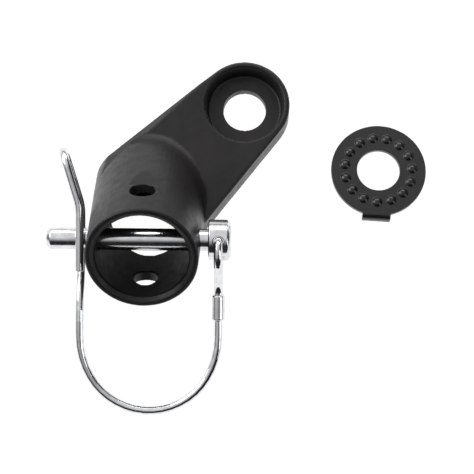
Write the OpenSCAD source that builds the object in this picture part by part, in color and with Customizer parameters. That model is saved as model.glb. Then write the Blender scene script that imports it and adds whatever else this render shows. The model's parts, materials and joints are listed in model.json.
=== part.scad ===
// Angled drawbar coupler for a bicycle trailer.
// A flat arm bolts to the wheel axle. A socket tube, set at an angle through the arm's wide end,
// takes the drawbar and is closed by a lock pin with a spring wire bail.
// A loose tab washer goes between the arm and the wheel's dropout.
// Origin: centre of the axle hole, on the arm's back face. +Z is the arm's front normal.

/* [Socket tube] */
// Outside diameter of the socket tube at its mouth
tube_od = 32.2; // [26:0.1:42]
// Bore that takes the drawbar
bore_d = 26.6; // [20:0.1:34]
// Length along the tube's axis from the arm's back face to the mouth
tube_len = 36.9; // [30:0.1:60]
// Angle between the tube's axis and the arm
tube_angle = 45; // [35:1:60]
// Draft of the outside wall, wider towards the arm
tube_draft = 1.8; // [0:0.1:3]
// Chamfer inside the mouth
mouth_chamfer = 1.35; // [0.4:0.05:2]
// Chamfer outside the mouth
rim_chamfer = 0.45; // [0.1:0.05:1]
// Distance of the tube's axis from the axle hole, along X, at the back face
tube_dx = 28.25; // [24:0.25:50]
// Distance of the tube's axis from the axle hole, along Y, at the back face
tube_dy = 26.5; // [20:0.25:50]

// Where the web that stops the drawbar begins, along Y from the axle hole
stop_y = -30.5; // [-36:0.25:-24]
// Thickness of the web
stop_t = 3; // [1:0.1:6]

/* [Mounting arm] */
// Thickness of the arm
arm_t = 9.5; // [6:0.1:14]
// Width of the arm's round end
arm_end_w = 27.4; // [26:0.1:40]
// Axle hole
axle_d = 13; // [9:0.1:16]
// Recess for the axle nut, at its rim
recess_d = 23.7; // [18:0.1:25]
// Depth of the recess
recess_depth = 5.9; // [1:0.1:6]
// Draft of the recess wall, as the floor's smaller radius
recess_draft = 0.7; // [0:0.05:1.5]
// Radius of the shoulder that the arm's upper edge is drawn to, at the tube's far side
shoulder_r = 13; // [8:0.25:16]
// Radius of the heel at the tube's near side
heel_r = 8.3; // [5:0.1:12]
// Angle that the bevel along the upper edge opens by
bevel_spread = 5.6; // [2:0.1:8]
// Break on the front edge all round
edge_break = 0.5; // [0.1:0.05:1]
// Leg of the weld fillet along the joint with the tube
weld_leg = 2.4; // [1:0.1:4]

/* [Lock pin] */
// Diameter of the pin's shank
pin_d = 6.35; // [5:0.05:10]
// Distance of the pin from the mouth, along the tube's axis
pin_setback = 10.95; // [8:0.05:20]
// How far the shank's tip stands out of the tube
pin_tip_out = 11.6; // [8:0.1:20]
// Diameter of the pin's head
head_d = 11.8; // [8:0.1:16]
// Length of the pin's head
head_len = 6.4; // [5:0.1:12]
// Gap between the head and the tube, taken up when the pin is pushed home
head_gap = 2.1; // [1:0.1:6]
// Diameter of the second pair of cross holes, for a drawbar drilled the other way
cross_d = 7.2; // [5:0.1:11]

/* [Wire bail] */
// Wire diameter
wire_d = 2.5; // [1.8:0.1:3]
// Reach of the bail from the pin's axis to the middle of its bottom bend
bail_reach = 50.3; // [44:0.1:80]
// Length of the crimped ferrule
ferrule_len = 7.15; // [5:0.05:12]
// Distance from the pin's axis to the ferrule
ferrule_drop = 15.85; // [14:0.05:24]
// How far the finger tab reaches back past the pin's axis
tab_reach = 24.9; // [20:0.1:40]
// Lean of the finger tab away from the tube
tab_lean = 17; // [10:1:30]
// How far the wire's free end runs past the pin
tail_len = 9.2; // [6:0.1:16]

/* [Tab washer] */
// Outside diameter of the washer
washer_od = 28.8; // [24:0.1:40]
// Hole of the washer
washer_id = 13; // [9:0.1:16]
// Thickness of the washer
washer_t = 1.6; // [1:0.1:3]
// Number of pressed dimples
dimple_count = 15; // [8:1:20]
// Diameter of one dimple
dimple_d = 3.1; // [2:0.1:4]
// Height of one dimple
dimple_h = 0.75; // [0.3:0.05:1]
// Width of the tab
tab_w = 8.5; // [6:0.1:10]
// How far the tab stands out past the rim
tab_out = 1.1; // [0.8:0.1:4]
// How far the tab is bent down below the washer
tab_drop = 1.5; // [1:0.1:6]
// Radius of the ring of dimples
dimple_ring = 10.3; // [8:0.1:16]
// Where the loose washer lies, from the axle hole along X and Y
washer_at = [41, -18.4];
// Turn of the washer as it lies
washer_turn = -3.2; // [-180:0.1:180]

/* [Hidden] */
$fn = 96;
eps = 0.01;
far = 200;              // larger than the whole part
fit_gap = 0.05;         // radial running gap of the pin in its holes and in its head
wire_gap = 0.25;        // radial gap of the wire in the head's cross hole
pass_gap = 0.3;         // gap of the bail's strands past the pin, the head and the tube
black_paint = [0.13, 0.12, 0.125];
bright_zinc = [0.82, 0.83, 0.85];

// Socket tube
mouth_r = tube_od / 2;
tube_c = [-tube_dx, -tube_dy, 0];
flank_r = mouth_r + tube_len * tan(tube_draft);          // outside radius at the arm's back face
pin_s = tube_len - pin_setback;                          // place of the pin along the tube's axis
side_r = mouth_r + pin_setback * tan(tube_draft);        // outside radius beside the pin
pin_c = tube_c + pin_s * [0, -cos(tube_angle), sin(tube_angle)];

// Mounting arm
end_r = arm_end_w / 2;
shoulder_c = [tube_c.x - (flank_r - shoulder_r) - 0.3, tube_c.y + 0.9];
heel_c = [tube_c.x + (flank_r - heel_r) + 0.9, tube_c.y - 6.5];
flank_dir = tangent_angle(shoulder_c, shoulder_r, 1);    // direction of the upper edge
recess_floor = arm_t - recess_depth;
past_face = 1;                                           // the bevel's cutter reaches past the face
split_x = tube_c.x - 0.4 * flank_r;                      // the arm's plate ends here, inside the tube

// Lock pin, measured along X from the tube's axis
tip_x = -side_r - pin_tip_out;
head_x = side_r + head_gap;
shank_in = 1.2;                                          // spigot of the shank inside the head
shank_chamfer = 1.2;
head_chamfer = 0.9;
eye_x = head_x + head_len / 2 - 0.25;                    // cross hole of the head

// Wire bail, in its own plane: X along the pin, Z away from the pin, Y square to both
wire_r = wire_d / 2;
wire_sides = 16;
wire_part = 8;                                           // most degrees of bend between two rings
eye_bend = wire_d + 0.1;                                 // bend radius beside the head
eye_straight = head_d - 2 * 0.6;                         // straight wire inside the head
eye_half = eye_straight / 2 + eye_bend;                  // strand's distance from the middle
strand = wire_r + 0.02;                                  // half spacing of the strands in the ferrule
neck_bend = 6;
neck_turn = 40;
neck_run = (eye_half - strand - 2 * neck_bend * (1 - cos(neck_turn))) / sin(neck_turn);
neck_end = ferrule_drop - neck_run * cos(neck_turn) - 2 * neck_bend * sin(neck_turn);
hook_half = pin_d / 2 + wire_r + pass_gap;               // strand beside the pin's tip
hook_twist = 5;                                          // twist of the hook about the wire
hook_x = -side_r - wire_r - 0.35 - 2 * hook_half * sin(hook_twist);
side_bend = 24;                                          // easy bend at each side of the bow
side_turn = 30;
bow_half = (eye_x - hook_x) / 2;
bow_bend = (bow_half - side_bend * (1 - cos(side_turn))) / cos(side_turn);
bow_depth = side_bend * sin(side_turn) + bow_bend * (1 - sin(side_turn));
leg_end = bail_reach - bow_depth;                        // where the straight legs meet the bow
hook_start = pin_d / 2 + wire_d + 0.8;                   // the hook's strands run straight from here
slant_len = 0.8 * (leg_end - hook_start);                // the leg slants back behind the pin over this
slant_turn = 2 * atan((hook_half - strand) / slant_len);
slant_bend = slant_len / 2 / sin(slant_turn);
lean_bend = 14;
lean_start = 7;                                          // the tab leans from here, behind the pin
tab_run = (tab_reach - lean_start - lean_bend * sin(tab_lean)) / cos(tab_lean) - hook_half;
tail_start = ferrule_drop + ferrule_len + 0.4;           // cut end of the wire, past the ferrule
rest_turn = asin((pin_c.z - wire_r) / norm([bail_reach, strand])) - atan(strand / bail_reach);
bail_steps = [
    [tail_start - ferrule_drop],                         // through the ferrule, towards the pin
    [neck_bend, neck_turn, -90], [neck_run], [neck_bend, neck_turn, 180],
    [neck_end - eye_bend],
    [eye_bend, 90, 0], [eye_straight], [eye_bend, 90, 0],    // through the head
    [neck_end - eye_bend],
    [neck_bend, neck_turn, 0], [neck_run], [neck_bend, neck_turn, 180],
    [leg_end - ferrule_drop],                            // back through the ferrule, down the leg
    [side_bend, side_turn, -90], [bow_bend, 180 - 2 * side_turn, 0], [side_bend, side_turn, 0],
    [leg_end - hook_start - slant_len],                  // up the other leg and behind the pin
    [slant_bend, slant_turn, 90], [slant_bend, slant_turn, 180],
    [hook_start + lean_start],
    [lean_bend, tab_lean, -90], [tab_run],               // finger tab
    [hook_half, 180, 90 + hook_twist],
    [tab_run], [lean_bend, tab_lean, -90 + hook_twist],
    [lean_start + tail_len]                              // in front of the pin
];

// Tab washer
washer_edge = washer_od / 2;
washer_tilt = atan(tab_drop / (2 * washer_edge + tab_out));  // it rests on its tab and its far rim
dimple_ball = (dimple_d * dimple_d / 4 + dimple_h * dimple_h) / (2 * dimple_h);

// Weld fillet: stretch round the tube, as angles from +X
weld_from = 5;
weld_to = 112;
weld_step = 2.5;
weld_curve = 5;                                          // flats across the fillet's hollow face
weld_sink = 0.06;                                        // how far its edges run into the metal

// Angle of the straight edge that touches the arm's round end and another circle.
// side is 1 for the edge on the left as seen from the other circle, -1 for the right.
function tangent_angle(c, r, side) =
    atan2(-c.y, -c.x) + side * asin((end_r - r) / norm(c));

// Puts its children on the tube's axis: +Z runs from the back face to the mouth, +Y is uppermost
module on_tube() {
    translate(tube_c) rotate([90 - tube_angle, 0, 0]) children();
}

// Puts its children on the pin's axis: X is the axis, Z points to the mouth
module on_pin() {
    on_tube() translate([0, 0, pin_s]) children();
}

// Puts its children in the bail's plane at rest: Z points from the pin to the bow, Y to the front
module on_bail() {
    translate(pin_c) rotate([90 + rest_turn, 0, 0]) children();
}

module along_x(x) {
    translate([x, 0, 0]) rotate([0, 90, 0]) children();
}

// Outside of the tube before it is trimmed
module tube_outside() {
    back = 2 * flank_r / tan(tube_angle);
    total = tube_len + back;
    on_tube() translate([0, 0, -back])
        cylinder(h = total - rim_chamfer, r1 = mouth_r + total * tan(tube_draft),
                 r2 = mouth_r + rim_chamfer * tan(tube_draft));
    on_tube() translate([0, 0, tube_len - rim_chamfer])
        cylinder(h = rim_chamfer, r1 = mouth_r + rim_chamfer * tan(tube_draft),
                 r2 = mouth_r - rim_chamfer);
}

// Points round an arc, about every 4 degrees
function arc(c, r, from, to) =
    let (n = ceil((to - from) / 4)) [for (i = [0 : n]) let (a = from + (to - from) * i / n)
        c + r * [cos(a), sin(a)]];

// Round end and heel, joined by straight edges that touch them. The left end lies in the tube.
module arm_outline(inset = 0) {
    r0 = end_r - inset;
    near_side = tangent_angle(heel_c, heel_r, -1) - 90;
    run = (split_x + r0 * sin(flank_dir)) / cos(flank_dir);
    polygon(concat(
        arc([0, 0], r0, near_side, flank_dir + 90),
        [r0 * [-sin(flank_dir), cos(flank_dir)] + run * [cos(flank_dir), sin(flank_dir)],
         [split_x, heel_c.y]],
        arc(heel_c, heel_r - inset, 270, 360 + near_side)));
}

// Removes what lies beyond the arm's upper edge
module beyond_flank() {
    rotate(flank_dir) translate([-far, end_r, -far / 2]) cube([2 * far, far, far]);
}

// Bevel along the upper edge, which widens towards the tube and runs out in its side
module flank_bevel() {
    rotate(flank_dir + bevel_spread) translate([-far, end_r, arm_t]) rotate([-45, 0, 0])
        translate([0, -past_face, 0]) cube([far, far, far]);
}

// Axle hole, nut recess and the break at the recess's rim
module axle_seat() {
    rim = 0.4;
    recess_r = recess_d / 2;
    rotate_extrude() polygon([
        [0, -1], [axle_d / 2, -1], [axle_d / 2, recess_floor], [recess_r - recess_draft, recess_floor],
        [recess_r, arm_t - rim], [recess_r + 2 * rim, arm_t + rim], [0, arm_t + rim]]);
}

module mounting_arm() {
    color(black_paint) difference() {
        union() {
            linear_extrude(arm_t - edge_break) arm_outline();
            linear_extrude(arm_t) arm_outline(edge_break);
        }
        flank_bevel();
        tube_outside();
        axle_seat();
    }
}

module socket_tube() {
    flat_deep = 0.4;        // below the wall at the hole's edge, and it runs out from there
    flat_slope = 4.2;
    flat_start = 0.8;
    color(black_paint) difference() {
        tube_outside();
        translate([-far, -far, -far]) cube([2 * far, 2 * far, far]);
        beyond_flank();
        flank_bevel();
        // the bore, less the web that closes the upper part of its back
        difference() {
            on_tube() translate([0, 0, -far / 2]) cylinder(h = far, d = bore_d);
            translate([-far, stop_y, -1]) cube([2 * far, far, stop_t + 1]);
        }
        on_tube() translate([0, 0, tube_len - mouth_chamfer])
            cylinder(h = mouth_chamfer + eps, d1 = bore_d, d2 = bore_d + 2 * mouth_chamfer);
        // holes that the pin runs in
        on_pin() along_x(-far / 2) cylinder(h = far, r = pin_d / 2 + fit_gap);
        // the second pair, square to the first
        on_pin() rotate([90, 0, 0]) translate([0, 0, -far / 2]) cylinder(h = far, d = cross_d);
        // drill flat behind the upper hole
        on_pin() translate([0, side_r - flat_deep, -cross_d / 2])
            rotate([flat_slope + tube_draft, 0, 0])
                translate([-far / 2, 0, -far]) cube([far, far, far + flat_start]);
    }
}

// Point on the tube's outside at an angle round the tube and a height above the arm's back face
function on_wall(turn, z) =
    let (k = tan(tube_draft),
         s = (z - flank_r * sin(turn) * cos(tube_angle)) / (sin(tube_angle) - k * sin(turn) * cos(tube_angle)),
         r = flank_r - s * k)
    tube_c + s * [0, -cos(tube_angle), sin(tube_angle)]
        + r * [cos(turn), sin(turn) * sin(tube_angle), sin(turn) * cos(tube_angle)];

// Section of the fillet at one angle: its buried corner, then its hollow face from arm to tube
function weld_section(turn) =
    let (leg = weld_leg * min(1, 0.3 + (turn - weld_from) / 25, 0.3 + (weld_to - turn) / 25),
         foot = on_wall(turn, arm_t),
         out = [cos(turn), sin(turn) * sin(tube_angle), 0] / norm([cos(turn), sin(turn) * sin(tube_angle)]),
         low = foot + leg * out - [0, 0, weld_sink],
         high = on_wall(turn, arm_t + leg) - weld_sink * out,
         inner = foot - 2 * weld_sink * out - [0, 0, 2 * weld_sink])
    concat([inner], [for (i = [0 : weld_curve]) let (t = i / weld_curve)
        (1 - t) * (1 - t) * low + 2 * t * (1 - t) * (foot + 0.12 * leg * out) + t * t * high]);

module weld_fillet() {
    n = weld_curve + 2;
    turns = [for (a = [weld_from : weld_step : weld_to]) a];
    points = [for (a = turns) each weld_section(a)];
    last = (len(turns) - 1) * n;
    color(black_paint) polyhedron(points = points, faces = concat(
        [[for (j = [0 : n - 1]) j]], [[for (j = [n - 1 : -1 : 0]) last + j]],
        [for (i = [0 : len(turns) - 2], j = [0 : n - 1]) let (k = (j + 1) % n)
            [i * n + j, (i + 1) * n + j, (i + 1) * n + k, i * n + k]]));
}

module pin_shank() {
    color(bright_zinc) on_pin() {
        along_x(tip_x + shank_chamfer)
            cylinder(h = head_x + shank_in - tip_x - shank_chamfer, d = pin_d);
        along_x(tip_x)
            cylinder(h = shank_chamfer, d1 = pin_d - 1.6 * shank_chamfer, d2 = pin_d);
    }
}

module pin_head() {
    color(bright_zinc) difference() {
        on_bail() along_x(head_x) {
            cylinder(h = head_chamfer / 3, d1 = head_d - 2 * head_chamfer / 3, d2 = head_d);
            translate([0, 0, head_chamfer / 3])
                cylinder(h = head_len - 4 * head_chamfer / 3, d = head_d);
            translate([0, 0, head_len - head_chamfer])
                cylinder(h = head_chamfer, d1 = head_d, d2 = head_d - 2 * head_chamfer);
        }
        on_bail() along_x(head_x - 1) cylinder(h = 1 + shank_in + fit_gap, r = pin_d / 2 + fit_gap);
        on_bail() translate([eye_x, 0, 0]) rotate([90, 0, 0]) translate([0, 0, -head_d])
            cylinder(h = 2 * head_d, r = wire_r + wire_gap);
    }
}

// A wire bent from steps: it starts at the origin along +Z. Each step is [length] for a straight
// run, or [bend radius, turn, roll]: it rolls about the wire, then bends towards its own X.
// A frame of the wire is [place, X, Z, roll so far], where Z runs along the wire.
function rolled(f, roll) = [f[0], cos(roll) * f[1] + sin(roll) * cross(f[2], f[1]), f[2], f[3] + roll];
function bent(f, r, turn) = [f[0] + r * (1 - cos(turn)) * f[1] + r * sin(turn) * f[2],
                             cos(turn) * f[1] - sin(turn) * f[2], sin(turn) * f[1] + cos(turn) * f[2], f[3]];
function moved(f, length) = [f[0] + length * f[2], f[1], f[2], f[3]];

// Frames along the steps, from the one after f. A bend is in even parts of at most wire_part degrees.
function frames(steps, f, i = 0) =
    i == len(steps) ? [] :
    let (s = steps[i],
         n = len(s) == 1 ? 1 : ceil(s[1] / wire_part),
         g = len(s) == 1 ? f : rolled(f, s[2]),
         next = [for (k = [1 : n]) len(s) == 1 ? moved(g, s[0]) : bent(g, s[0], s[1] * k / n)])
    concat(next, frames(steps, next[n - 1], i + 1));

// Points of the wire's surface round a frame, turned back by the roll so that they run straight on
function ring(f) = [for (k = [0 : wire_sides - 1]) let (a = k * 360 / wire_sides - f[3])
    f[0] + wire_r * (cos(a) * f[1] + sin(a) * cross(f[2], f[1]))];

module wire(steps) {
    start = [[0, 0, 0], [1, 0, 0], [0, 0, 1], 0];
    line = concat([start], frames(steps, start));
    last = (len(line) - 1) * wire_sides;
    polyhedron(points = [for (f = line) each ring(f)], faces = concat(
        [[for (k = [0 : wire_sides - 1]) k]], [[for (k = [wire_sides - 1 : -1 : 0]) last + k]],
        [for (i = [0 : len(line) - 2], k = [0 : wire_sides - 1])
            let (a = i * wire_sides, b = (k + 1) % wire_sides)
            [a + k, a + wire_sides + k, a + wire_sides + b, a + b]]));
}

module wire_bail() {
    color(bright_zinc) on_bail() translate([eye_x, strand, tail_start]) rotate([180, 0, 0])
        wire(bail_steps);
}

module crimp_ferrule() {
    wall = 0.62;
    color(bright_zinc) on_bail() translate([eye_x, 0, ferrule_drop]) difference() {
        slot_bar(wire_r + wall, ferrule_len);
        translate([0, 0, -1]) slot_bar(wire_r, ferrule_len + 2);
    }
}

// Round-ended bar round both strands
module slot_bar(r, h) {
    linear_extrude(h) union() {
        translate([0, strand]) circle(r = r);
        translate([0, -strand]) circle(r = r);
        square([2 * r, 2 * strand], center = true);
    }
}

module tab_washer() {
    corner = washer_t;
    lift = washer_edge * sin(washer_tilt);
    color(black_paint) translate([washer_at.x, washer_at.y, lift]) rotate(washer_turn)
        rotate([-washer_tilt, 0, 0]) difference() {
            union() {
                cylinder(h = washer_t, r = washer_edge);
                // tab, bent down round a corner
                translate([-tab_w / 2, -washer_edge - tab_out + corner, 0])
                    cube([tab_w, 2 * corner, washer_t]);
                translate([-tab_w / 2, -washer_edge - tab_out, -tab_drop])
                    cube([tab_w, washer_t, tab_drop]);
                translate([-tab_w / 2, -washer_edge - tab_out + corner, 0]) rotate([0, 90, 0])
                    intersection() {
                        cylinder(h = tab_w, r = corner);
                        translate([-corner, -corner, 0]) cube([corner, corner, tab_w]);
                    }
                each_dimple() intersection() {
                    translate([0, 0, washer_t + dimple_h - dimple_ball]) sphere(r = dimple_ball);
                    translate([-dimple_d, -dimple_d, washer_t / 2])
                        cube([2 * dimple_d, 2 * dimple_d, washer_t]);
                }
            }
            translate([0, 0, -1]) cylinder(h = washer_t + 2, d = washer_id);
            // the dimples are hollow on the underside
            each_dimple() translate([0, 0, dimple_h - dimple_ball]) sphere(r = dimple_ball);
        }
}

module each_dimple() {
    for (i = [0 : dimple_count - 1])
        rotate(-90 + i * 360 / dimple_count) translate([dimple_ring, 0, 0]) children();
}

mounting_arm();
socket_tube();
weld_fillet();
pin_shank();
pin_head();
wire_bail();
crimp_ferrule();
tab_washer();
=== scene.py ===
# Angled trailer coupler with its lock pin, wire bail and loose tab washer.
import json
import math

import bmesh
import bpy
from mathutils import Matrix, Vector, noise


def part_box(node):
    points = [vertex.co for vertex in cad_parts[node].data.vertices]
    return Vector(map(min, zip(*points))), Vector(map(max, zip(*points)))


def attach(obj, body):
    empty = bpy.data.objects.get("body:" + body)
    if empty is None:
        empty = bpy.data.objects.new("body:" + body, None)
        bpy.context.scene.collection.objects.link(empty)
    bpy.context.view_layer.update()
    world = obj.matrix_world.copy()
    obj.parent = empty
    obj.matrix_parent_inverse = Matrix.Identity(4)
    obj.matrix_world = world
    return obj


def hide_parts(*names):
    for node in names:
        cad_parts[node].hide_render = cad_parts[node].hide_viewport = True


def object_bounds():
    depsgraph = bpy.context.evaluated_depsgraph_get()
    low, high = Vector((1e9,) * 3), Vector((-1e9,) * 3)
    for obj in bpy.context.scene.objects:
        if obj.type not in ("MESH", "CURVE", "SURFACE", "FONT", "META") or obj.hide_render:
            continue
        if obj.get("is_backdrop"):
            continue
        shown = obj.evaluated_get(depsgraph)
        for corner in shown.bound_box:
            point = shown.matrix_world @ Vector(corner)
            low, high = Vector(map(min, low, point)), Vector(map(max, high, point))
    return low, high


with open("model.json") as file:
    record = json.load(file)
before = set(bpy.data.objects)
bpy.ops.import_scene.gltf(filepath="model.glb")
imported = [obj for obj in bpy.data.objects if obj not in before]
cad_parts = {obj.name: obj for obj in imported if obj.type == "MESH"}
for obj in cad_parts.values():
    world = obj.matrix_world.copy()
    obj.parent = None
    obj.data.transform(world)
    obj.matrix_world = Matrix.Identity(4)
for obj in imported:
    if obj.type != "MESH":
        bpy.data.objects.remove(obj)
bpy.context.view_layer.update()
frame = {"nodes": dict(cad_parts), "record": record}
mm = 0.001
print("frame loaded:", sorted(frame["nodes"]))


def jointNamed(name):
    joints = frame["record"]["behaviour"]["joints"]
    return next(joint for joint in joints if joint["name"] == name)


pinCentre = Vector(jointNamed("pin_turn")["pos_m"])
eyeCentre = Vector(jointNamed("bail_open")["pos_m"])
eyeAxis = Vector(jointNamed("bail_open")["axis"]).normalized()   # cross hole of the pin's head
legAxis = Vector((1, 0, 0)).cross(eyeAxis).normalized()          # from the pin down the bail's legs


# Camera: looks down on the coupler from the mouth's side
cameraSettings = {
    "place": (3.49 * mm, -133.46 * mm, 377.90 * mm),
    "turn": (14.0, 0.6, 0.82),                # degrees about x, y and z
    "lens": 97.7,
}


def makeCamera(settings):
    data = bpy.data.cameras.new("camera")
    data.lens = settings["lens"]
    data.sensor_width = 36
    data.clip_start = 0.01
    camera = bpy.data.objects.new("camera", data)
    camera.location = settings["place"]
    camera.rotation_euler = [math.radians(a) for a in settings["turn"]]
    bpy.context.scene.collection.objects.link(camera)
    bpy.context.scene.camera = camera


makeCamera(cameraSettings)


# Mesh helpers

def newPiece(name, mesh):
    piece = bpy.data.objects.new(name, mesh)
    bpy.context.scene.collection.objects.link(piece)
    return piece


def bmeshPiece(name, bm):
    bmesh.ops.recalc_face_normals(bm, faces=bm.faces)
    mesh = bpy.data.meshes.new(name)
    bm.to_mesh(mesh)
    bm.free()
    return newPiece(name, mesh)


# One copy of some CAD nodes' meshes with their faces joined up
def closedCopy(name, *nodes):
    bm = bmesh.new()
    for node in nodes:
        bm.from_mesh(frame["nodes"][node].data)
    bmesh.ops.remove_doubles(bm, verts=bm.verts, dist=0.002 * mm)
    return bmeshPiece(name, bm)


# Turns the piece's modifiers into plain mesh
def settle(piece):
    bpy.context.view_layer.update()
    graph = bpy.context.evaluated_depsgraph_get()
    mesh = bpy.data.meshes.new_from_object(piece.evaluated_get(graph))
    piece.modifiers.clear()
    piece.data = mesh


# Even skin of small faces whose edges are rounded by smoothing
def softened(name, voxel, passes, *nodes):
    piece = closedCopy(name, *nodes)
    skin = piece.modifiers.new("skin", "REMESH")
    skin.mode = "VOXEL"
    skin.voxel_size = voxel
    soft = piece.modifiers.new("soft", "SMOOTH")
    soft.factor = 0.5
    soft.iterations = passes
    settle(piece)
    piece.data.shade_smooth()
    return piece


# Presses shallow hollows into a surface, as a casting's skin has: large ones, and finer ones half as deep
def rippled(piece, depth, size, seed):
    mesh = piece.data
    shift = Vector((seed, 2.7 * seed, -1.3 * seed))
    finer = 2.3
    moved = []
    for vertex in mesh.vertices:
        place = vertex.co / size
        wave = noise.noise(place + shift) + 0.5 * noise.noise(place * finer - shift)
        moved.append(vertex.co - vertex.normal * depth * (0.5 + 0.45 * wave))
    for vertex, place in zip(mesh.vertices, moved):
        vertex.co = place
    mesh.update()


# Points of a profile whose corners are rounded: each entry is (along, radius, rounding)
def roundedProfile(entries, arcParts):
    points = []
    last = len(entries) - 1
    for i, (along, radius, rounding) in enumerate(entries):
        here = Vector((along, radius))
        if rounding == 0 or i in (0, last):
            points.append(here)
            continue
        toPrevious = (Vector(entries[i - 1][:2]) - here).normalized() * rounding
        toNext = (Vector(entries[i + 1][:2]) - here).normalized() * rounding
        for k in range(arcParts + 1):
            t = k / arcParts
            points.append(here + toPrevious * (1 - t) ** 2 + toNext * t ** 2)
    return points


# Turned piece: the profile runs round the axis from the start point
def turned(name, start, axis, points, sides):
    across = axis.orthogonal().normalized()
    up = axis.cross(across)
    bm = bmesh.new()
    rings = []
    for point in points:
        if point.y < 1e-7:
            rings.append([bm.verts.new(start + axis * point.x)])
            continue
        ring = []
        for k in range(sides):
            a = 2 * math.pi * k / sides
            outward = across * math.cos(a) + up * math.sin(a)
            ring.append(bm.verts.new(start + axis * point.x + outward * point.y))
        rings.append(ring)
    for first, second in zip(rings, rings[1:]):
        for k in range(sides):
            j = (k + 1) % sides
            corners = [first[k % len(first)], first[j % len(first)]]
            corners += [second[j % len(second)], second[k % len(second)]]
            bm.faces.new(list(dict.fromkeys(corners)))      # a ring of one point gives triangles
    return bmeshPiece(name, bm)


def smoothByAngle(piece, degrees):
    piece.data.shade_smooth()
    bpy.context.view_layer.objects.active = piece
    piece.select_set(True)
    bpy.ops.object.shade_smooth_by_angle(angle=math.radians(degrees))
    piece.select_set(False)


# Material helpers: every finish is made of nodes

class Finish:
    def __init__(self, name, base, metallic, roughness):
        self.material = bpy.data.materials.new(name)
        self.material.use_nodes = True
        self.tree = self.material.node_tree
        self.shader = self.tree.nodes["Principled BSDF"]
        self.shader.inputs["Base Color"].default_value = (*base, 1)
        self.shader.inputs["Metallic"].default_value = metallic
        self.shader.inputs["Roughness"].default_value = roughness
        self.place = self.node("ShaderNodeTexCoord").outputs["Object"]
        self.height = None

    def node(self, kind, **values):
        made = self.tree.nodes.new(kind)
        for key, value in values.items():
            setattr(made, key, value)
        return made

    def link(self, source, target):
        self.tree.links.new(source, target)

    # grain size in metres, squeezed along one axis if stretch is given
    def grain(self, size, detail=3, stretch=(1, 1, 1)):
        mapping = self.node("ShaderNodeMapping")
        mapping.inputs["Scale"].default_value = stretch
        grain = self.node("ShaderNodeTexNoise")
        grain.inputs["Scale"].default_value = 1 / size
        grain.inputs["Detail"].default_value = detail
        self.link(self.place, mapping.inputs["Vector"])
        self.link(mapping.outputs["Vector"], grain.inputs["Vector"])
        return grain.outputs["Fac"]

    def ranged(self, value, low, high, start=0.3, end=0.7):
        ramp = self.node("ShaderNodeMapRange")
        for name, number in (("From Min", start), ("From Max", end), ("To Min", low), ("To Max", high)):
            ramp.inputs[name].default_value = number
        self.link(value, ramp.inputs["Value"])
        return ramp.outputs["Result"]

    def mixed(self, amount, first, second):
        mix = self.node("ShaderNodeMix", data_type="RGBA")
        mix.inputs["A"].default_value = (*first, 1) if isinstance(first, tuple) else (0, 0, 0, 1)
        mix.inputs["B"].default_value = (*second, 1)
        if not isinstance(first, tuple):
            self.link(first, mix.inputs["A"])
        self.link(amount, mix.inputs["Factor"])
        return mix.outputs["Result"]

    def bump(self, value, distance, strength=1.0):
        bump = self.node("ShaderNodeBump")
        bump.inputs["Distance"].default_value = distance
        bump.inputs["Strength"].default_value = strength
        self.link(value, bump.inputs["Height"])
        if self.height:
            self.link(self.height, bump.inputs["Normal"])
        self.height = bump.outputs["Normal"]
        self.link(self.height, self.shader.inputs["Normal"])

    def colour(self, value):
        self.link(value, self.shader.inputs["Base Color"])

    def roughness(self, value):
        self.link(value, self.shader.inputs["Roughness"])


paintSettings = {
    "colour": (0.010, 0.0088, 0.0095),
    "dusty": (0.017, 0.015, 0.016),            # thin places
    "gloss": (0.32, 0.44),
    "specular": 0.28,
    "orangePeel": 1.1 * mm,
    "peelDepth": 0.018 * mm,
    "castSkin": 4.5 * mm,
    "castDepth": 0.10 * mm,
    "dust": 0.25 * mm,                         # finest grain in the paint
    "dustDepth": 0.0025 * mm,
    "blotch": 14 * mm,
    "sheen": 2.5 * mm,                         # size of the duller and glossier places
}


def blackPaint(settings):
    finish = Finish("blackPaint", settings["colour"], 0, 0.38)
    blotch = finish.ranged(finish.grain(settings["blotch"], 2), 0, 1)
    finish.colour(finish.mixed(blotch, settings["colour"], settings["dusty"]))
    finish.roughness(finish.ranged(finish.grain(settings["sheen"]), *settings["gloss"]))
    finish.shader.inputs["Specular IOR Level"].default_value = settings["specular"]
    finish.bump(finish.grain(settings["castSkin"], 2), settings["castDepth"])
    finish.bump(finish.grain(settings["orangePeel"], 2), settings["peelDepth"])
    finish.bump(finish.grain(settings["dust"], 2), settings["dustDepth"])
    return finish.material


boreShadeSettings = {
    # these near-black colours are painted shade for the inside of the bore
    "colour": (0.004, 0.0038, 0.004),
    "dusty": (0.008, 0.0075, 0.008),
    "gloss": (0.50, 0.62),
    "specular": 0.08,
    "blotch": 4 * mm,
    "sheen": 2 * mm,
    "grain": 0.6 * mm,
    "grainDepth": 0.01 * mm,
}


# Duller paint inside the bore, its colour darker than the outer paint as painted shade in the tube's
# hollow
def shadedBoreCoat(settings):
    finish = Finish("shadedBoreCoat", settings["colour"], 0, 0.55)
    dust = finish.ranged(finish.grain(settings["blotch"], 2), 0, 1)
    finish.colour(finish.mixed(dust, settings["colour"], settings["dusty"]))
    finish.roughness(finish.ranged(finish.grain(settings["sheen"]), *settings["gloss"]))
    finish.shader.inputs["Specular IOR Level"].default_value = settings["specular"]
    finish.bump(finish.grain(settings["grain"], 3), settings["grainDepth"])
    return finish.material


washerSettings = {
    "colour": (0.0065, 0.0062, 0.0068),
    "cloudy": (0.011, 0.0105, 0.011),
    "gloss": (0.16, 0.28),
    "blotch": 5 * mm,
    "sheen": 1.2 * mm,
    "grain": 0.5 * mm,
    "grainDepth": 0.006 * mm,
}


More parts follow.
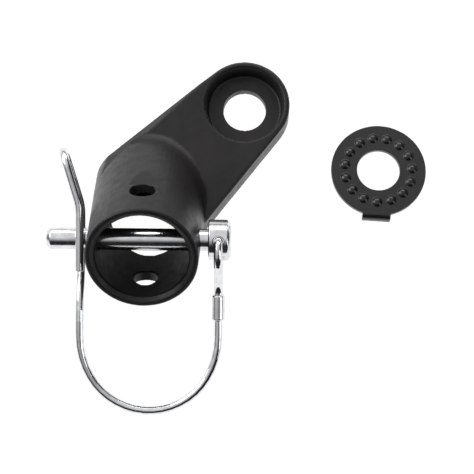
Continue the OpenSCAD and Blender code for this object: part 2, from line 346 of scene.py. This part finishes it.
def blackOxide(settings):
    finish = Finish("blackOxide", settings["colour"], 0, 0.3)
    clouds = finish.ranged(finish.grain(settings["blotch"]), 0, 1)
    finish.colour(finish.mixed(clouds, settings["colour"], settings["cloudy"]))
    finish.roughness(finish.ranged(finish.grain(settings["sheen"]), *settings["gloss"]))
    finish.bump(finish.grain(settings["grain"], 3), settings["grainDepth"])
    return finish.material


platingSettings = {
    "colour": (0.80, 0.81, 0.83),
    "grey": (0.62, 0.63, 0.65),
    "gloss": (0.10, 0.24),
    "blotch": 3 * mm,
    "turning": 0.35 * mm,                      # pitch of the turning marks
    "turningDepth": 0.004 * mm,
    "turningLong": 0.03,                       # marks are this much finer along the pin than round it
}


# Bright zinc on turned steel; the marks run round the pin
def brightPlating(settings):
    finish = Finish("brightPlating", settings["colour"], 1, 0.15)
    marks = finish.grain(settings["turning"], 2, (1, settings["turningLong"], settings["turningLong"]))
    blotch = finish.ranged(finish.grain(settings["blotch"]), 0, 1)
    finish.colour(finish.mixed(blotch, settings["colour"], settings["grey"]))
    finish.roughness(finish.ranged(marks, *settings["gloss"]))
    finish.bump(marks, settings["turningDepth"])
    return finish.material


wireSettings = {
    "colour": (0.84, 0.85, 0.86),
    "grey": (0.66, 0.67, 0.69),
    "gloss": (0.06, 0.16),
    "blotch": 2 * mm,
    "sheen": 0.8 * mm,
    "pits": 0.4 * mm,
    "pitDepth": 0.003 * mm,
}


# Plated spring wire, drawn smooth with small pits
def springPlating(settings):
    finish = Finish("springPlating", settings["colour"], 1, 0.1)
    blotch = finish.ranged(finish.grain(settings["blotch"]), 0, 1)
    finish.colour(finish.mixed(blotch, settings["colour"], settings["grey"]))
    finish.roughness(finish.ranged(finish.grain(settings["sheen"]), *settings["gloss"]))
    finish.bump(finish.grain(settings["pits"], 3), settings["pitDepth"])
    return finish.material


paint = blackPaint(paintSettings)
boreShadePaint = shadedBoreCoat(boreShadeSettings)
oxide = blackOxide(washerSettings)
plating = brightPlating(platingSettings)
wirePlating = springPlating(wireSettings)


def finishPiece(piece, material, body, slot, *nodes):
    piece.data.materials.clear()
    piece.data.materials.append(material)
    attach(piece, body)
    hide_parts(*nodes)
    print(piece.name, "made,", len(piece.data.polygons), "faces")


# Coupler: arm, tube and the fillet between them under one coat of paint
couplerSettings = {
    "voxel": 0.24 * mm,
    "soft": 3,
    "boreRadius": 13.3 * mm,
    "boreSlack": 0.3 * mm,                     # faces this far outside the bore still count as inside it
    "boreDeep": 74.0 * mm,                     # and this far behind the mouth
    "hollowDepth": 0.07 * mm,                  # hollows in the casting's skin
    "hollowSize": 5.5 * mm,
    "hollowSeed": 3.1,
}


# Gives the faces inside the tube's bore their own darker paint, painted shade in the hollow, which is the
# piece's second material
def paintBoreShade(piece, settings):
    mount = next(mount for mount in frame["record"]["mounts"] if mount["name"] == "drawbar_socket")
    mouth = Vector(mount["pos_m"])
    axis = Vector(mount["axis"]).normalized()
    piece.data.materials.append(boreShadePaint)
    reach = settings["boreRadius"] + settings["boreSlack"]
    for face in piece.data.polygons:
        fromMouth = face.center - mouth
        along = fromMouth.dot(axis)
        if (fromMouth - axis * along).length < reach and along > -settings["boreDeep"]:
            face.material_index = 1


def makeCoupler(settings):
    coupler = softened("painted_coupler", settings["voxel"], settings["soft"],
                       "mounting_arm", "socket_tube", "weld_fillet")
    rippled(coupler, settings["hollowDepth"], settings["hollowSize"], settings["hollowSeed"])
    finishPiece(coupler, paint, "coupler", "black_paint", "mounting_arm", "socket_tube", "weld_fillet")
    paintBoreShade(coupler, settings)


makeCoupler(couplerSettings)


# Lock pin: shank and pressed-on head
shankSettings = {"chamfer": 1.2 * mm, "chamferDrop": 0.96 * mm, "round": 0.25 * mm, "sides": 96}


def makeShank(settings):
    low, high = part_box("pin_shank")
    radius = (high.z - low.z) / 2
    length = high.x - low.x
    tip = radius - settings["chamferDrop"]
    profile = [(0, 0, 0), (0, tip, settings["round"]), (settings["chamfer"], radius, settings["round"]),
               (length, radius, 0), (length, 0, 0)]
    shank = turned("lock_pin_shank", Vector((low.x, pinCentre.y, pinCentre.z)), Vector((1, 0, 0)),
                   roundedProfile(profile, 5), settings["sides"])
    smoothByAngle(shank, 40)
    finishPiece(shank, plating, "lock_pin", "bright_zinc", "pin_shank")


headSettings = {
    "round": 0.35 * mm,
    "faceChamfer": 0.9 * mm,
    "holeRadius": 1.5 * mm,
    "holeFlare": 1.6,                          # widening of the hole outside the head
    "gap": 0.05 * mm,                          # round the shank and at its end
    "sides": 96,
}


def makeHead(settings):
    low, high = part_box("pin_head")
    radius = (high.z - low.z) / 2
    length = high.x - low.x
    edge = settings["faceChamfer"]
    rounding = settings["round"]
    shankLow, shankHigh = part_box("pin_shank")
    bore = (shankHigh.z - shankLow.z) / 2 + settings["gap"]
    boreEnd = shankHigh.x - low.x + settings["gap"]
    profile = [(boreEnd, 0, 0), (boreEnd, bore, 0), (0, bore, settings["gap"]),
               (0, radius - edge / 3, rounding / 3), (edge / 3, radius, rounding / 2),
               (length - edge, radius, rounding),
               (length, radius - edge, rounding), (length, 0, 0)]
    head = turned("lock_pin_head", Vector((low.x, pinCentre.y, pinCentre.z)), Vector((1, 0, 0)),
                  roundedProfile(profile, 4), settings["sides"])
    hole = settings["holeRadius"]
    wide = hole * settings["holeFlare"]
    outside = 1.2 * radius
    inside = 0.92 * radius
    flare = [(-outside, 0, 0), (-outside, wide, 0), (-inside, hole, 0.2 * mm),
             (inside, hole, 0.2 * mm), (outside, wide, 0), (outside, 0, 0)]
    cutter = turned("cutter", eyeCentre, eyeAxis, roundedProfile(flare, 4), 48)
    cut = head.modifiers.new("hole", "BOOLEAN")
    cut.operation = "DIFFERENCE"
    cut.solver = "EXACT"
    cut.object = cutter
    settle(head)
    bpy.data.objects.remove(cutter)
    smoothByAngle(head, 35)
    finishPiece(head, plating, "lock_pin_head", "bright_zinc", "pin_head")


makeShank(shankSettings)
makeHead(headSettings)


# Wire bail: an even skin, smoothed until the wire is round
bailSettings = {"voxel": 0.12 * mm, "soft": 10}


def makeBail(settings):
    bail = softened("spring_bail", settings["voxel"], settings["soft"], "wire_bail")
    finishPiece(bail, wirePlating, "bail", "spring_wire", "wire_bail")


makeBail(bailSettings)


# Crimped ferrule: a flattened sleeve with two pinches
ferruleSettings = {
    "length": 7.15 * mm,
    "halfWidth": 1.87 * mm,
    "halfDepth": 3.14 * mm,
    "pinch": 0.22 * mm,
    "pinchesAt": (0.3, 0.7),                   # shares of the length
    "pinchWidth": 0.07,
    "round": 0.3 * mm,
    "rings": 40,
    "sides": 64,
}


def makeFerrule(settings):
    low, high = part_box("crimp_ferrule")
    start = (low + high) / 2 - legAxis * settings["length"] / 2
    across = Vector((1, 0, 0))
    flat = settings["halfDepth"] - settings["halfWidth"]     # half distance of the two round ends
    bm = bmesh.new()
    rings = []
    for i in range(settings["rings"] + 1):
        t = i / settings["rings"]
        along = t * settings["length"]
        toEnd = min(along, settings["length"] - along)
        lip = max(0, 1 - toEnd / settings["round"])
        shrink = settings["round"] * (1 - math.sqrt(max(0, 1 - lip * lip)))
        pinches = [math.exp(-((t - at) / settings["pinchWidth"]) ** 2) for at in settings["pinchesAt"]]
        squeeze = settings["pinch"] * sum(pinches)
        ring = []
        for k in range(settings["sides"]):
            a = 2 * math.pi * k / settings["sides"]
            # the ring's two halves slide apart and leave a flat between them
            side = math.copysign(flat, math.sin(a)) * min(1, abs(math.sin(a)) * 6)
            x = math.cos(a) * (settings["halfWidth"] - shrink)
            y = side + math.sin(a) * (settings["halfWidth"] - shrink)
            if abs(y) < flat:
                x -= math.copysign(squeeze, x) * (1 - abs(y) / flat) ** 0.5
            ring.append(bm.verts.new(start + legAxis * along + across * x + eyeAxis * y))
        rings.append(ring)
    for first, second in zip(rings, rings[1:]):
        for k in range(settings["sides"]):
            j = (k + 1) % settings["sides"]
            bm.faces.new((first[k], first[j], second[j], second[k]))
    bm.faces.new(rings[0])
    bm.faces.new(rings[-1])
    ferrule = bmeshPiece("crimped_sleeve", bm)
    smoothByAngle(ferrule, 50)
    finishPiece(ferrule, plating, "bail", "bright_zinc", "crimp_ferrule")


makeFerrule(ferruleSettings)


# Tab washer with its pressed dimples
dimpledSettings = {"voxel": 0.12 * mm, "soft": 2}


def makeWasher(settings):
    washer = softened("dimpled_washer", settings["voxel"], settings["soft"], "tab_washer")
    finishPiece(washer, oxide, "washer", "black_steel", "tab_washer")


makeWasher(dimpledSettings)


# Floor and soft studio light
stageSettings = {
    "floorSize": 6.0,
    "floorColours": ((0.10, 0.10, 0.10), (0.09, 0.09, 0.09)),
    "floorBlotch": 0.4,
    "aimAt": (-0.01, -0.03, 0.01),                         # where the lights point
    "floorGlow": (1.0, 0.45),                              # at the part and far away
    "floorFade": (0.2, 1.0),                               # metres from the part
    "skyFrom": Vector((-0.35, 0.45, 0.82)).normalized(),   # the bright part of the sky
    "skySpread": (0.20, 0.92),                             # cosines where it is darkest and brightest
    "skyRange": (0.02, 0.85),
    # name, place, width, height, watts
    "lights": (
        ("leftBox", (-0.50, 0.18, 0.42), 0.45, 0.45, 2.2),
        ("topBox", (0.05, 0.60, 0.40), 0.70, 0.30, 2.0),
        ("rightBox", (0.55, -0.25, 0.40), 0.25, 0.55, 0.8),
    ),
}


# Bright on one side of the zenith and dark round the horizon, as under a hanging softbox
def makeSky(settings):
    world = bpy.data.worlds.new("softSky")
    bpy.context.scene.world = world
    world.use_nodes = True
    tree = world.node_tree
    place = tree.nodes.new("ShaderNodeTexCoord")
    toward = tree.nodes.new("ShaderNodeVectorMath")
    toward.operation = "DOT_PRODUCT"
    toward.inputs[1].default_value = settings["skyFrom"]
    ramp = tree.nodes.new("ShaderNodeMapRange")
    ramp.interpolation_type = "SMOOTHSTEP"
    ramp.inputs["From Min"].default_value, ramp.inputs["From Max"].default_value = settings["skySpread"]
    ramp.inputs["To Min"].default_value, ramp.inputs["To Max"].default_value = settings["skyRange"]
    tree.links.new(place.outputs["Generated"], toward.inputs[0])
    tree.links.new(toward.outputs["Value"], ramp.inputs["Value"])
    tree.links.new(ramp.outputs["Result"], tree.nodes["Background"].inputs["Strength"])
    tree.nodes["Background"].inputs["Color"].default_value = (1, 1, 1, 1)


def makeStage(settings):
    size = settings["floorSize"] / 2
    mesh = bpy.data.meshes.new("floor")
    corners = [(-size, -size, 0), (size, -size, 0), (size, size, 0), (-size, size, 0)]
    mesh.from_pydata(corners, [], [(0, 1, 2, 3)])
    floor = newPiece("floor", mesh)
    floor.location.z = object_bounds()[0].z - 0.05 * mm
    finish = Finish("paleFloor", settings["floorColours"][0], 0, 0.9)
    blotch = finish.ranged(finish.grain(settings["floorBlotch"]), 0, 1)
    finish.colour(finish.mixed(blotch, *settings["floorColours"]))
    finish.shader.inputs["Specular IOR Level"].default_value = 0
    finish.shader.inputs["Emission Color"].default_value = (1, 1, 1, 1)
    distance = finish.node("ShaderNodeVectorMath", operation="LENGTH")
    finish.link(finish.place, distance.inputs[0])
    glow = finish.ranged(distance.outputs["Value"], *settings["floorGlow"], *settings["floorFade"])
    finish.link(glow, finish.shader.inputs["Emission Strength"])
    mesh.materials.append(finish.material)
    floor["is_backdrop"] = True
    makeSky(settings)

    for name, place, width, height, watts in settings["lights"]:
        data = bpy.data.lights.new(name, "AREA")
        data.shape = "RECTANGLE"
        data.size = width
        data.size_y = height
        data.energy = watts
        light = bpy.data.objects.new(name, data)
        light.location = place
        toPart = Vector(settings["aimAt"]) - Vector(place)
        light.rotation_euler = toPart.to_track_quat("-Z", "Y").to_euler()
        bpy.context.scene.collection.objects.link(light)
    bpy.context.scene.view_settings.view_transform = "Standard"


makeStage(stageSettings)
print("stage set")
